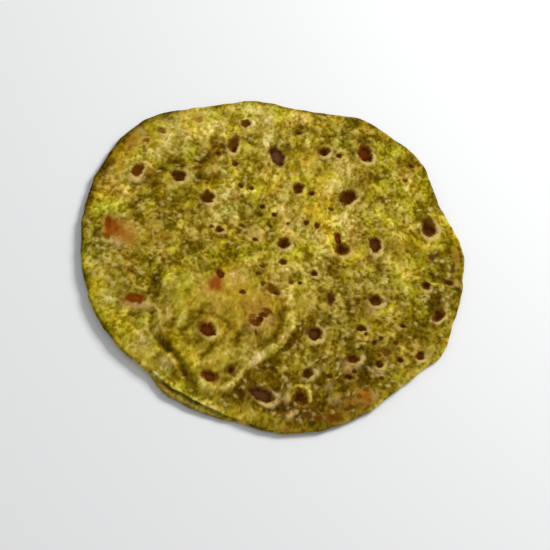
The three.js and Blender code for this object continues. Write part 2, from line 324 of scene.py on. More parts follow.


# Fine folds that only the finish has: how high, half width, how pale, and the route. Below 0 the paleness
# is painted shade in a crease; above 0 it is partly the dough's own paler colour and partly a painted
# highlight on the ridge.
wrinkles = [
    # crease under the left of the puffed part, and its lips
    (-0.5, 0.9, -1.0, [(-50, -58.5), (-46.5, -61), (-45.5, -66), (-42.5, -71), (-38, -74)]),
    (-1.0, 1.6, -1.2, [
        (-42, -72), (-36.5, -75), (-30, -77.5), (-26, -81), (-22, -86), (-17, -90), (-11, -93),
    ]),
    (0.4, 1.1, 0.6, [(-61, -58.5), (-55, -56.5), (-49, -55.5), (-44.5, -57.5), (-42, -62), (-40.5, -66)]),
    (0.25, 0.8, 0.6, [(-38, -78), (-32, -80), (-28, -83), (-24, -87)]),
    # lip and shadow of the split
    (0.2, 0.7, 1.3, [(-36, -89.6), (-29, -92.2), (-22, -94.6), (-15, -96.2), (-7, -97.4), (4, -98)]),
    (-0.3, 1.2, -0.6, [(-26, -89), (-18, -92), (-8, -94), (2, -94)]),
    # left edge of the puffed part
    (-0.6, 1.6, -1.3, [(-51, -26), (-51.5, -34), (-51.5, -42), (-51, -50)]),
    (0.45, 1.4, 0.9, [(-43, -27), (-45.5, -34), (-46.5, -41), (-46, -47)]),
    (0.35, 1.4, 0.8, [(-27, -27), (-32.5, -32), (-37, -38.5)]),
    (0.3, 1.2, 0.4, [(-30, -20), (-24, -17), (-18, -15)]),
    # strokes across it
    (0.4, 1.3, 0.7, [(-31, -52), (-32.5, -58), (-32, -64), (-33, -70)]),
    (0.35, 1.0, 0.5, [(-38, -50), (-40, -57), (-37, -63)]),
    (-0.35, 1.1, -0.7, [(-35.5, -52), (-35.5, -60), (-36, -67)]),
    (-0.35, 1.1, -0.7, [(-43, -48), (-43, -55), (-39.5, -60)]),
    (-0.45, 1.1, -1.1, [(-28.5, -60), (-27.5, -53.5), (-22, -51), (-14, -51), (-9.5, -53), (-7, -58)]),
    (-0.4, 1.5, -0.9, [(-17.5, -77), (-15, -71.5), (-11.5, -66), (-7.5, -61.5)]),
    (-0.4, 1.4, -0.9, [(-28, -66), (-25, -70), (-20, -68)]),
    (-0.45, 1.5, -1.0, [(3.5, -69), (-0.5, -74), (-3.5, -78.5)]),
    (0.4, 1.3, 0.9, [(-7.5, -42), (-6, -48), (-2.5, -54.5)]),
    (0.4, 2.0, 1.0, [(-1, -67), (-6, -70), (-10.5, -75), (-12, -78)]),
    (0.35, 1.2, 0.7, [(-4, -71), (-5, -76), (-3.5, -80)]),
    (0.45, 1.7, 1.0, [(-23.5, -73), (-20.5, -78), (-17, -83), (-11, -88.5), (-5, -89.5)]),
    (0.3, 1.5, 0.5, [(-12, -40), (-20, -39), (-27, -41)]),
    (0.35, 1.6, 0.7, [(-16, -22), (-15.5, -28), (-14, -34)]),
    (0.3, 1.2, 0.6, [(-9, -22), (-8.5, -27)]),
    (-0.3, 1.2, -0.6, [(-5, -55), (-3, -60), (-7, -63)]),
    # inside and outside of the roll on its right
    (-0.4, 1.8, -1.0, [(11, -32), (14.5, -38), (15.5, -46), (12, -54), (6, -62)]),
    (0.35, 1.5, 1.0, [(4, -73), (3.5, -79), (0.5, -85), (-3.5, -88)]),
    (-0.5, 1.5, -1.4, [
        (20.5, -31), (23.7, -40), (23, -49), (19, -58), (14, -66), (9, -72), (6, -81), (3, -89),
    ]),
    # elsewhere
    (0.35, 1.1, 1.0, [(62, -38), (65.5, -37), (69, -33), (68, -29)]),
    (0.35, 1.2, 1.0, [(78, -30.5), (78, -36), (81, -39), (83.5, -42)]),
    (-0.3, 1.0, -0.9, [(80, -33), (84, -30.5), (88, -29)]),
    (0.4, 1.0, 1.2, [(80.5, 4), (83, 9), (87, 11), (93, 10.6), (98.5, 11)]),
    (-0.4, 1.8, -1.1, [(78, 17), (85, 16), (93, 15.6)]),
    (0.4, 1.2, 1.1, [(38, -12), (40.5, -17), (40.5, -22), (38.5, -27)]),
    (0.35, 1.4, 0.8, [(44, -21), (45.5, -27)]),
    (0.4, 1.5, 1.0, [(-34, 28), (-27, 28), (-21, 30.5), (-18.5, 33)]),
    (0.3, 2.0, 0.7, [(17, 46), (18.5, 53), (20, 61)]),
    (-0.3, 1.5, -0.9, [(-48, 50), (-49.5, 42), (-50, 32), (-49, 24), (-53, 16)]),
    (-0.35, 2.6, -0.9, [(-21, 2), (-21, 10), (-17, 17), (-9, 18.5)]),
    (0.35, 1.2, 0.8, [(58.5, 71), (58, 66), (58.5, 61)]),
    (0.3, 1.0, 0.7, [(64, 69), (62, 64), (60, 61)]),
    (-0.35, 1.5, -0.8, [(36, 68.5), (41, 67), (44, 65.5)]),
    (-0.3, 1.3, -0.9, [(77, -14), (84, -16), (92, -15)]),
    (0.35, 1.2, 1.0, [(42, -69), (45, -73), (43, -77)]),
    (0.5, 1.1, 1.9, [
        (33, -83), (38.4, -81.4), (40.4, -77.3), (38.6, -73.3), (34.8, -71.7), (31, -73.2), (29, -77),
        (29.6, -81.8), (30, -83),
    ]),
    (0.35, 1.0, 1.1, [(58, -43), (59.5, -47), (60, -50)]),
    (0.35, 1.2, 1.0, [(71, -43), (71, -47.5), (67, -50)]),
    (0.35, 1.8, 1.0, [(-51.5, -8), (-48.5, -14), (-49.5, -21), (-51, -26)]),
    (0.35, 1.2, 0.7, [(-77, -3), (-78, -8), (-82, -12)]),
    (-0.35, 1.3, -0.8, [(-88, -20), (-87, -27), (-83, -31)]),
    (0.35, 2.0, 1.0, [(-52, 70), (-53, 63), (-54.5, 56)]),
    (0.2, 3.5, 0.0, [(-22, 87), (-23.5, 80), (-24, 70)]),
    (0.25, 1.1, 0.5, [(-15, 79), (-14.5, 72)]),
    (-0.35, 1.2, -0.8, [(-8, 65), (-8, 56), (-7.5, 47)]),
    (0.35, 1.6, 0.9, [(-12, 47), (-11.5, 40)]),
    (0.3, 1.1, 0.8, [(14.5, 90), (14, 82)]),
    (-0.25, 1.2, -0.4, [(-17, 85), (-17.5, 76)]),
    (-0.3, 1.2, -0.7, [(-68, 22), (-70, 28), (-66, 33), (-59, 33.5)]),
]
wrinkleReach = 4  # how many half widths from its route a wrinkle still changes
wrinkleWander = (0.5, 3, 83, 2)  # soft noise


def readWrinkles(x, y):  # their relief and how pale they are, painted shade in the creases and partly painted highlight on the ridges
    relief = np.zeros_like(x)
    pale = np.zeros_like(x)
    for height, width, paleness, route in wrinkles:
        low = np.min(route, axis=0) - wrinkleReach * width
        high = np.max(route, axis=0) + wrinkleReach * width
        near = (x > low[0]) & (y > low[1]) & (x < high[0]) & (y < high[1])
        wander = unevenAt(x[near], y[near], wrinkleWander)
        profile = foldProfile({"route": route, "width": width}, x[near] + wander, y[near] + wander)
        relief[near] += height * profile
        pale[near] += paleness * profile
    return relief, pale


# Pairs are for the smallest blister and for a full one, unless their note says otherwise.
charRing = {
    "height": 0.5, "at": 1.35, "width": 0.38,  # shares of the blister's own size
    "pitDepth": 0.6, "pitReach": 0.9, "pitSquareness": 4, "coverSquareness": 6,
    "full": 6,  # mm across from which a blister has its full relief
    "haloOut": (0.14, 1.4), "haloWidth": (0.46, 1.15),  # mm past the blister
    "haloSize": (0.3, 1),
    "haloOnLitSide": (0.15, 1), "haloWidthOnLitSide": (0.7, 1.2),  # away from the lit side, and on it: painted highlight, the halo stronger and wider towards the lamp
    "litSide": -32,  # degrees, the side towards the lamp, where the ring gets its painted highlight
    "moatOut": 2.5, "moatWidth": 1.2,  # mm past the halo's middle
    "moatOfRing": (0.6, 1),  # for no ring, and for a strong one
    "bend": (0.45, 2.6, (21, 37), 2),
    "bulges": [(2, 0.04), (3, 0.06), (5, 0.04)],  # times round, share of the size
    "seed": 5,
    "span": 4, "spanOfSize": 1.5,  # mm past a blister that it still changes, with that many sizes
    "farShare": 3.0,
}
# x, y, width across, length along, how burnt, how reddish or below 0 greyish, how strong its
# ring is, and the turn where it has one
charMarks = [
    (28.8, 48.2, 8.6, 11.4, 1, 0, 0.8, -28), (31.2, 50.2, 4.6, 4.6, 1, 0, 0.2),
    (75.4, 44.8, 7.6, 11.4, 1, 0, 1.4, 30), (31, 80, 7.6, 10.2, 0.92, 0.55, 1.1, 30),
    (-14, 59.4, 6.8, 12.6, 0.64, -0.8, 0.3, 28), (-17.6, 62, 2.6, 4.4, 0.9, 0, 0.1, 20),
    (-11, 55.6, 2.8, 3.4, 0.9, 0, 0.1, 20), (-38.7, 58, 5.2, 10.3, 0.5, 0.15, 1.2, 3),
    (-37.4, 55.4, 3, 4.6, 0.9, 0, 0.1, 20), (-44, 54, 3.4, 3, 0.5, 0, 0.4),
    (-36.4, 73.6, 5.2, 4.4, 0.5, 0.1, 1.1, 10), (-41.6, 18.9, 7, 7.2, 1, 0, 0.85),
    (-59.9, 26.2, 6.6, 6.4, 0.97, 0, 1.05), (-81.3, 20.8, 5.4, 8.2, 0.56, 0.3, 1.3),
    (-30, 1.8, 4.2, 4, 0.9, 0, 0.9), (-34.5, 2, 2.4, 2.4, 0.4, 0, 0.3), (4, 6, 6.4, 7, 0.95, 0, 0.9),
    (2.2, 43.2, 5.4, 7.6, 0.8, 0, 0.6, -5), (10, 43, 3.2, 3.4, 0.75, 0, 0.5),
    (9.3, 72.4, 6.4, 5, 0.9, 0, 1.3, 30), (18, 73, 3.2, 3, 0.7, 0, 0.3),
    (34.3, 14.2, 7.4, 6.8, 0.88, 0, 0.7, 30), (30.3, 20.5, 3.4, 7, 0.72, 0.6, 0.5, 25),
    (50, 23.3, 5.8, 9.4, 0.78, -0.4, 1.2, 28), (57.8, -10, 6.6, 6.2, 1, 0, 1, -30),
    (81.4, 8.2, 4.4, 4.4, 0.8, 0, 0.8), (92.6, 15, 5.6, 3.2, 0.8, 0, 0.7),
    (91.5, -6.3, 5, 8.6, 0.97, 0, 1.1, -15), (24, -6, 3.6, 3.4, 0.85, 0, 1.4),
    (6.7, -5.6, 4, 3.4, 0.65, 0.1, 0.8, 20), (6.2, -24.4, 7.4, 4.8, 0.42, 0.1, 0.4, -10),
    (7.8, -25.4, 4.2, 3, 0.82, 0, 0.3, -10), (0.5, -23.3, 2.4, 3, 0.45, 0, 0.3),
    (32.8, -40.4, 7.6, 7.2, 0.95, -0.5, 1.1), (35.8, -17, 3.6, 9, 0.7, -0.3, 0.5, 10),
    (54.9, -28.4, 4.8, 3.4, 0.85, -0.2, 1.1, 10), (54.9, -48, 5.6, 4.6, 0.85, -0.3, 0.7),
    (68, -46, 4, 4.2, 1, 0, 0.8), (70, -38, 4.6, 3.6, 0.36, 0.1, 0.3),
    (67, -40.5, 2.4, 2, 0.4, 0.1, 0.1), (63, -34.4, 2.8, 2.8, 0.75, 0, 0.6),
    (65.7, -31, 2.4, 2.6, 0.7, 0, 0.6), (87.2, -33.6, 4.4, 5, 0.85, 0.2, 1),
    (77.7, -40, 2.8, 3, 0.75, 0, 0.7), (55, -58.6, 4.6, 3, 0.85, 0, 0.7, 15),
    (35.3, -64, 4.6, 5.6, 0.95, 0, 1.4, -35), (35.4, -78.2, 7.6, 6.2, 1, 0, 0.1, -15),
    (17, -83.4, 12, 6.6, 0.76, -0.6, 1, -5), (31.4, -88, 2.6, 2.2, 0.2, 0, 1.3),
    (-9.6, -83.4, 8.4, 5, 0.7, 0.4, 0.25, 8), (-0.8, -76, 3.2, 4, 0.8, 0, 0.3, -30),
    (4.6, -44.6, 3, 4.4, 0.8, 0.3, 0.3, -20), (3, -47.4, 5, 4.4, 0.5, 0.35, 0.3, 10),
    (0.8, -44.8, 3, 3.6, 0.3, 0.4, 0.1, 30), (5.6, -41.2, 4.2, 3.2, 0.68, 0.2, 0.3, 20),
    (7.4, -38.2, 5.8, 2.2, 0.4, 0.15, 0.1, -15), (5, -53, 1.6, 3.4, 0.5, 0.2, 0.2, 10),
    (-3, -44.5, 1.4, 3.4, 0.25, 0.3, 0, 20), (-18.2, -59.8, 8.2, 6.5, 0.78, 0.45, 0.85, -12),
    (-15.2, -60.6, 3.6, 4.2, 1, 0.2, 0.8), (-56.8, -54.2, 8.6, 5, 0.42, 1, 0.2, 8),
    (-44.4, 48.5, 3.4, 3, 0.8, 0, 0.4), (-34, 46, 3.2, 3, 0.65, 0, 0.4),
    (-77, 50.4, 4.6, 3.8, 0.3, 0.4, 1.5), (-61, 66, 4.6, 3.8, 0.22, 0.6, 0.8, 20),
    (-84.5, -15.5, 2.8, 7, 0.36, 0.8, 0, 15), (-82.5, -24, 3.6, 3, 0.3, 0.9, 0),
    (-79.5, -18, 2, 3, 0.22, 0.8, 0), (62.5, -67, 2.4, 3, 0.3, 0.6, 0, 20),
    (65, -62.5, 2.6, 2, 0.3, 0.7, 0), (68, -67.5, 2, 2.6, 0.2, 0.7, 0),
    (45.9, -61.6, 3, 2.6, 0.55, 0, 0.4, 20), (51.9, -62.4, 3.4, 2.6, 0.5, 0.1, 0.3, -10),
    (53.3, -82.7, 7, 4, 0.38, 0.25, 0.1, 25), (46.5, -85.6, 4, 3, 0.45, 0.1, 0.2, 10),
    (40.8, -86, 4.6, 3.4, 0.4, -0.3, 0.3), (60, -74, 3, 2.4, 0.4, 0.2, 0.2, 30),
    (-27, 33, 3, 3, 0.65, 0, 0.5), (-21.3, 33.6, 2.8, 2.8, 0.65, 0, 0.5),
    (-12.7, 24.6, 3, 3, 0.7, 0, 0.4), (-5.2, 21.6, 2.6, 2.6, 0.75, 0, 0.4),
    (-12, 19, 2.2, 2.2, 0.6, 0, 0.3), (-7.4, 79, 4, 2.6, 0.7, 0, 0.3, 20),
    (-6.7, 83, 3, 2.2, 0.4, 0, 0.3), (-10.5, 3, 3, 2.4, 0.65, 0, 0.4), (22.4, 37, 2.6, 2.6, 0.45, 0, 0.4),
    (12, 22.8, 3, 2.6, 0.6, 0.1, 0.4), (18, 24, 3, 4, 0.65, 0, 0.4), (3, 19, 2, 2, 0.45, 0, 0.3),
    (57.5, 82, 3.4, 3, 0.7, 0, 0.4), (56.4, 70, 2.4, 2.4, 0.4, 0, 0.3), (80.6, 27, 3, 4, 0.5, -0.3, 0.3),
    (14, -16, 2.6, 2.6, 0.4, 0, 0.6), (18.3, -15, 2.2, 2.2, 0.65, 0, 0.6),
    (-21.4, -25.4, 3.8, 7, 0.75, 0.5, 0.2, 22), (-7.8, -32, 3, 2.2, 0.6, 0.1, 0.4, 10),
    (-2.6, -12.7, 3.2, 2.2, 0.6, 0, 0.3), (-3.3, -18, 3, 2, 0.5, 0.1, 0.3),
    (75, -20, 3, 2.4, 0.7, 0, 0.4), (14, -69, 2.6, 2.2, 0.65, 0, 0.4),
    (-95, 22, 3.6, 3.6, 0.25, 0.6, 0.2), (-83, 42, 2.6, 3, 0.3, 0.4, 0.2), (58, -31, 2, 2, 0.5, 0, 0.2),
    (73.5, -31.5, 2.6, 2.6, 0.55, 0, 0.4), (57, -54.5, 3, 2.2, 0.75, 0, 0.5, 30),
    (71, -53.5, 3, 1.8, 0.75, 0, 0.4, 10),
]


def readMarks(x, y):  # the charred blisters: their relief, and what their finish is, with their halos painted lighter towards the lamp and darker away from it
    bentX, bentY = bentPlaces(x, y, charRing["bend"])
    chance = random.Random(charRing["seed"])
    names = ("ridge", "pit", "cover", "burn", "warmth", "halo", "litShare", "moat")
    found = {name: np.zeros_like(x) for name in names}
    found["charShare"] = np.full_like(x, charRing["farShare"])
    for middleX, middleY, width, length, burn, warmth, ring, *turn in charMarks:
        span = charRing["span"] + charRing["spanOfSize"] * max(width, length)
        near = np.hypot(x - middleX, y - middleY) < span
        across, along = ovalFrame(bentX[near], bentY[near], middleX, middleY, *turn)
        heading = np.arctan2(along, across)
        reach = np.ones_like(heading)
        for times, out in charRing["bulges"]:
            reach += out * np.sin(times * heading + chance.uniform(0, 2 * math.pi))
        share = np.hypot(across / width, along / length) * 2 / reach
        size = min(1, min(width, length) / charRing["full"])
        # the halo is painted paler on the side towards the lamp and darker away from it: painted highlight
        # and painted shade
        pale = np.arctan2(y[near] - middleY, x[near] - middleX) - math.radians(charRing["litSide"])
        litShare = 0.5 + 0.5 * np.cos(pale)
        outside = (share - 1) * math.sqrt(width * length) / 2 - mix(*charRing["haloOut"], size)
        broad = mix(*charRing["haloWidth"], size) * mix(*charRing["haloWidthOnLitSide"], litShare)
        halo = ring * mix(*charRing["haloSize"], size) * mix(*charRing["haloOnLitSide"], litShare)
        moat = size * mix(*charRing["moatOfRing"], ring)
        here = {
            "ridge": size * ring * bell((share - charRing["at"]) / charRing["width"]),
            "pit": size * bell(share / charRing["pitReach"], charRing["pitSquareness"]),
            "cover": bell(share, charRing["coverSquareness"]),
            "halo": halo * bell(outside / broad),
            "moat": moat * bell((outside - charRing["moatOut"]) / charRing["moatWidth"]),
        }
        for name, values in here.items():
            found[name][near] = np.maximum(found[name][near], values)
        isNearer = share < found["charShare"][near]
        for name, value in (("burn", burn), ("warmth", warmth), ("litShare", litShare), ("charShare", share)):
            found[name][near] = np.where(isNearer, value, found[name][near])
    found["halo"] *= 1 - found["cover"]
    found["relief"] = charRing["height"] * found["ridge"] * (1 - found["cover"])
    found["relief"] -= charRing["pitDepth"] * found["pit"]
    return found


# Soft patches of one finish each: x, y, width across, length along, strength, and the turn
# where it has one.
patches = {
    "toast": [  # fried orange, red-brown where strongest
        (-82, -19, 6.6, 12, 1.3, 12), (-85, -16, 3.4, 8, 0.5, 15), (-72, -21, 11, 7, 0.4, -20),
        (-78, -14, 14, 9, 0.5), (-74, -20, 12, 10, 0.45), (-22, -31.5, 6, 8, 1.1, 10),
        (-24, -36, 12, 8, 0.4), (8, -31, 14, 12, 0.1), (66, -66, 8, 10, 0.95, 30),
        (59, -71, 12, 6, 0.35, 40), (-57, -54.6, 11, 8, 0.8, 8), (-56, -58, 11, 4, 0.6, 5),
        (-92, 22, 8, 8, 0.3), (-90, 36, 6, 10, 0.4), (94, 31, 5, 18, 0.5, 20), (54, -81, 22, 12, 0.3, 35),
        (-86, 41, 14, 10, 0.4), (34, -96, 20, 6, 0.35), (70, -39, 9, 10, 0.5), (-56, -13.4, 6, 6, 0.5),
        (62, 27, 14, 10, 0.2), (-60, -65, 12, 9, 0.2), (3, -41, 12, 12, 0.15), (-82, 21, 12, 16, 0.2),
        (-61, 66, 10, 8, 0.5, 20), (-77, 50, 7, 7, 0.4), (31, 75, 7, 4, 0.4), (-4, -36, 44, 40, 0.2),
        (40, 18, 44, 26, 0.14), (-90, 10, 14, 30, 0.16), (10, 28, 30, 20, 0.12), (-9, -35, 30, 24, 0.26),
        (-14, -49, 24, 18, 0.14), (-90, -30, 14, 16, -0.5), (30, -8, 26, 22, -0.4),
        (20, -15, 16, 14, -0.3), (-32, 88, 22, 12, -0.4), (30, 68, 20, 10, -0.25),
        (10, 90, 40, 12, -0.15), (92, 0, 14, 50, -0.15), (-30, 15, 16, 14, -0.25),
        (-45, -15, 14, 16, -0.2), (-45, -63, 16, 12, -0.25), (60, -45, 16, 14, -0.2),
        (60, 0, 16, 14, -0.15), (-89, 27, 8, 12, 0.2), (0, 62, 16, 12, 0.2), (12, 30, 14, 14, 0.15),
        (-15, -23, 16, 18, 0.2), (45, 15, 14, 12, 0.15),
    ],
    "gold": [  # bright mustard
        (-68, -19, 18, 10, 0.6), (-61, 65.5, 20, 16, 0.7, 30), (-76, 48, 18, 22, 0.6),
        (-77, 50.4, 12, 11, 0.6), (-61, 66, 12, 10, 0.4), (-44, -82, 20, 12, 0.8, -35),
        (-75, -53, 18, 13, 0.6, -45), (10, 58, 34, 20, 0.4), (12, -5, 12, 12, 0.5), (23, -25, 9, 13, 0.8),
        (14, -95, 26, 6, 0.8, 8), (-7, -73, 9, 14, 1, -35), (-20.5, -78, 6, 12, 0.8, 25),
        (-36, -45, 18, 22, 0.5), (-8, -89, 18, 6, 0.5, -5), (62, 27, 20, 14, 0.4),
        (32, 72, 13, 7, 0.8, 10), (-51, -13, 10, 12, 0.6), (79, 38, 8, 6, 0.7), (-60, 20, 14, 5, 0.6),
        (-54, 24, 4, 9, 0.6), (92, -26, 10, 20, 0.5, 15), (80, -48, 14, 14, 0.4, 40),
        (-25, 82, 16, 20, 0.8), (18, 55, 14, 14, 0.7),
    ],
    "green": [  # greener dough, or browner
        (-90, -24, 18, 28, 1.8), (22, -6, 32, 24, 0.7), (-28, 88, 26, 12, 0.8), (28, 80, 22, 16, 0.7),
        (-30, 17, 14, 14, 0.6), (-45, -13, 14, 14, 0.6), (-60, 45, 14, 12, 0.4), (-52, -61, 18, 14, 0.5),
        (60, -46, 14, 14, 0.6), (92, -2, 12, 50, 0.5), (45, 76, 14, 14, 0.5), (-30, 60, 16, 14, 0.5),
        (60, 2, 14, 12, 0.4), (-15, 15, 14, 12, 0.5), (-75, 0, 12, 12, 0.4), (-94, 24, 10, 22, -0.6),
        (-90, 2, 12, 14, -0.7), (0, 60, 16, 14, -0.4), (22, 29, 44, 14, -0.5), (-60, -17, 12, 14, -0.4),
        (-14, -60, 14, 14, -0.7), (40, 15, 26, 14, -0.5), (75, 15, 12, 12, -0.4), (75, -60, 12, 12, -0.4),
        (45, -76, 14, 12, -0.5), (25, -90, 24, 10, -0.4),
    ],
    "fleck": [  # raised pale spots, and sunk dark ones
        (-45, 60.5, 4.5, 9, 1, 10), (-72.5, 48, 5, 16, 0.9), (-76, 35, 9, 6, 0.8, 20),
        (-84, 38, 3, 3, 0.8), (-36, 17, 8, 12, 0.9, -20), (-33.5, 56, 3.5, 9, 0.8), (-22.5, 65, 4, 4, 1),
        (-26, 57.5, 3, 3, 0.9), (-26, 46, 2.6, 5, 1), (-41, 46, 3, 8, 0.9), (-55, 48, 2.8, 5, 1),
        (-65, 43, 3, 3, 0.9), (-67, 38.5, 3, 3, 0.9), (-56, 37, 5, 7, 0.5), (-39, 38.5, 3, 3, 1),
        (-45, 36, 5, 4, 0.5, 30), (-65, 15, 4, 4, 1), (-74, 13, 5, 5, 1), (-83, 9.5, 3, 3, 1),
        (-77, 5.5, 3, 5, 0.9), (-66, 1, 6, 5, 0.6), (-61, 7, 5, 4, 0.6), (-50, -2.5, 3, 4, 1),
        (-52, 8.5, 5, 3, 0.6, 20), (-43, 6, 6, 8, 0.6), (-8, 6, 4, 10, 0.9), (-20, 39, 5, 3, 0.8, -40),
        (-3, 32, 4, 4, 0.9), (-3, 46, 3, 7, 0.9), (21, 63, 8, 8, 0.8), (4.5, 79, 4, 4.5, 1),
        (-1, 75.5, 3.5, 3.5, 1), (8, 87, 6, 3, 0.8, -30), (2, 87, 4, 4, 0.8), (18.5, 77, 5, 2.6, 0.9, 10),
        (8, 69, 4, 3, 0.8, -20), (33, 64, 9, 6, 0.5), (30, 35, 9, 8, 0.7), (24.5, 27, 7, 8, 0.8),
        (38, 27, 4, 7, 0.7, 20), (24, 15, 9, 11, 0.7), (46, 46, 5, 10, 0.8), (43.5, 37, 4, 5, 0.8),
        (54, 41, 6, 4, 0.9, -10), (46, 83.5, 3, 5, 0.9), (62, 56, 3, 5, 0.5), (57, 52.5, 7, 6, 0.4),
        (63.5, 33, 3, 5, 0.8, -30), (69, 22, 6, 12, 0.7), (72.5, 27, 3, 4, 0.6), (14, 7, 3, 7, 0.8),
        (38, 7, 5, 4, 0.8), (44, 3, 3, 3, 0.8), (30, 60, 2.6, 2.6, 0.8), (6.3, 44, 2.4, 7, 0.7),
        (25.5, -24, 7, 12, 1, 20), (10, -9, 7, 6, 0.7), (16.5, -17.5, 3, 3, 0.8), (27, -14, 5, 4, 0.6),
        (67.5, -21, 3, 6, 1, -40), (72, -21, 2.6, 3, 0.8), (60.5, -22, 3, 4, 0.8), (53.5, -36, 7, 7, 0.6),
        (48, -40, 3, 2.4, 0.8), (91, -30.5, 3, 7, 0.8), (93, -20, 5, 5, 0.5), (86.5, -6.5, 2.4, 2.6, 0.8),
        (81, -11, 3.4, 2.6, 0.7), (55, -43, 3, 2.4, 0.8), (54.5, -52.5, 6, 3.4, 1, -20),
        (59, -58.5, 3, 6, 1, 10), (67, -57, 3.6, 2.4, 0.6, 20), (77, -52.5, 5, 2.6, 0.6, -30),
        (41, -50, 3, 4, 0.9), (27.5, -54.5, 2.8, 6, 0.9, 10), (33, -52, 5, 4, 0.6), (46, -56, 7, 8, 0.5),
        (26, -46.5, 3, 3, 0.9), (23, -56.5, 3, 2.6, 0.9), (23.5, -64.5, 4, 8, 0.9, -10),
        (12, -68.5, 3.4, 3, 0.8), (18.5, -70, 3, 3, 0.7), (50.5, -67, 3, 2, 0.8, 30),
        (47, -66, 2.2, 3.4, 0.7), (51, -72.5, 3, 2.4, 0.8, 30), (54, -76, 2.2, 3, 0.7, -30),
        (47, -80, 5, 6, 0.5), (32, -88, 3, 4, 0.9, -30), (27, -94.5, 5, 2.6, 0.6), (37, -93, 5, 3, 0.6),
        (53.5, -87, 2.6, 3, 0.7), (15, -96.5, 8, 5, 0.7, 10), (-41, -80, 5, 10, 1), (-48.5, -65, 5, 5, 1),
        (-55.5, -46.5, 3, 4, 1), (-62.5, -33, 3, 3, 0.9), (-62.5, -41.5, 2.6, 3, 0.8),
        (-54, -28, 4, 4, 0.7), (-60, -24, 5, 4, 0.6, 20), (-37, -22, 3, 3, 1), (-31, -17, 5, 3, 0.8, 30),
        (-27.5, -50, 4, 5, 0.8), (-1, -34, 4, 4, 0.7), (1, -39, 4, 4, 0.6), (8.5, -46.5, 5, 5, 0.6),
        (-4, -88, 7, 4, 0.8, 10), (-57.5, -68, 9, 8, 0.4), (-76, 60, 13, 8, -0.5, 10),
        (-86, 53, 8, 7, -0.6, 40), (-70, 66, 7, 4, -0.7, 30), (-46, 75, 8, 6, -0.9),
        (-53, 76, 5, 4, -0.6), (-61, 49, 9, 4, -0.8), (-62, 34, 10, 5, -0.7), (-70, 24, 6, 12, -0.8),
        (-35, 36, 9, 3.6, -0.9), (-27, 44, 4.4, 7, -0.9), (-21, 48, 4.4, 6, -0.9),
        (-22, 57, 5.4, 6, -0.9), (-31, 64, 3, 5, -0.8), (-25, 52, 4, 3, -0.8), (-8, 82, 8, 7, -0.8),
        (-22, 26, 6, 5, -0.7), (72, 60, 13, 13, -0.4, 20), (66, 47, 5, 8, -0.7, 30),
        (66, 38, 8, 4, -0.8, 20), (46, 73, 14, 8, -0.3), (56, 82, 6, 11, -0.8), (36, 53, 3.4, 6, -0.8),
        (46, 53, 4, 5, -0.8), (51, 57, 5, 3, -0.7), (38, 38, 3, 3, -0.7), (46, 34, 4, 4, -0.8),
        (56, 35, 4, 3, -0.6), (86, 36, 8, 13, -0.7), (82, 26, 5, 7, -0.7), (60, 20, 3, 8, -0.7),
        (43, 20, 4, 5, -0.8), (27, 88, 6, 7, -0.8), (8, 91, 4, 7, -0.8), (14, 62, 3, 3, -0.8),
        (55, 5, 4, 11, -0.7), (73, 7, 4, 3, -0.7), (36, 3, 5, 3, -0.6), (70, -41, 9, 11, -0.7),
        (86, -34, 6, 8, -0.7), (35, -20, 5, 12, -0.6, 10), (-65, -10, 6, 5, -0.6),
        (-37, -10, 12, 6, -0.6, 20),
    ],
    "cream": [  # pale with a pink cast
        (-77, -26, 7, 5, 0.9), (-56, -57.8, 11, 3.4, 1, 8), (-49, -56.6, 9, 2, 0.25, 8),
        (70.5, -63.5, 3, 5, 0.6), (-81, 15.4, 9, 3.4, 0.9, 10), (54, -52.5, 6, 6, 0.8),
        (59, -47, 2.6, 7, 0.8), (69, -49.5, 7, 3.4, 0.8, 15), (52, -73, 5, 5, 0.5),
        (24.5, -82, 2.6, 7, 0.8, -10), (33, -88.5, 3, 5, 0.9, -20), (-87, 46, 8, 4, 0.5, -30),
        (29.2, -80.5, 2.6, 6, 0.9, 10), (6, -43, 8, 7, 0.6), (3, -50.5, 6, 3, 0.6),
        (58, -16, 5, 7, 0.4, 20), (-92, 12, 7, 5, 0.3), (40, -60, 3, 5, 0.4), (47, -67, 4, 6, 0.4),
    ],
    "shade": [  # darker, with more leaf
        (-50, 40, 24, 18, 0.5), (-40, -8, 40, 22, 0.45), (-57, -32, 13, 32, 0.3, -8),
        # the row at (-26, -54) is painted shade in the arc beside a blister on the puffed part
        (-15, 15, 20, 16, 0.4), (13, -40, 6, 26, 0.5, -3), (-26, -54, 5, 16, 0.5, -15),
        (69, 55, 16, 18, 0.3, 30), (40, 68, 28, 18, 0.4), (85, -11, 20, 20, 0.65),
        (62, -50, 28, 22, 0.75, 20), (27, -82, 52, 15, 0.8, 5), (60, -80, 18, 14, 0.4, 35),
        (55, -70, 40, 26, 0.75, 35), (-66, 12, 40, 20, 0.5), (45, -32, 36, 40, 0.6),
        (28, 91, 10, 12, 0.6), (75, -27, 26, 14, 0.35, -20), (25, -50, 8, 40, 0.7, -18),
        (0, -45, 20, 20, 0.25), (14, -72, 18, 20, 0.45), (32, -89, 34, 18, 0.85), (30, -75, 26, 18, 0.4),
        (91, 15, 13, 46, 0.45), (40, -2, 40, 16, 0.3), (75, -60, 16, 20, 0.3, 30), (45, 15, 20, 18, 0.25),
        (50, -60, 30, 20, 0.25), (-17, 0, 16, 12, 0.3), (37, 0, 30, 14, 0.4), (-61, -13, 10, 8, 0.4),
        (6, 83, 20, 20, 0.5), (-60, -15, 18, 18, 0.25), (34, -91, 24, 12, 0.55), (38.5, -86, 8, 5, 0.7),
        (1, -90, 16, 9, 0.6), (8, -76, 14, 12, 0.25), (45, -60, 18, 14, 0.25), (89, 0, 12, 14, 0.5),
        # the rows at x -100, -99 and -94 are painted shade on the left rim's rounding
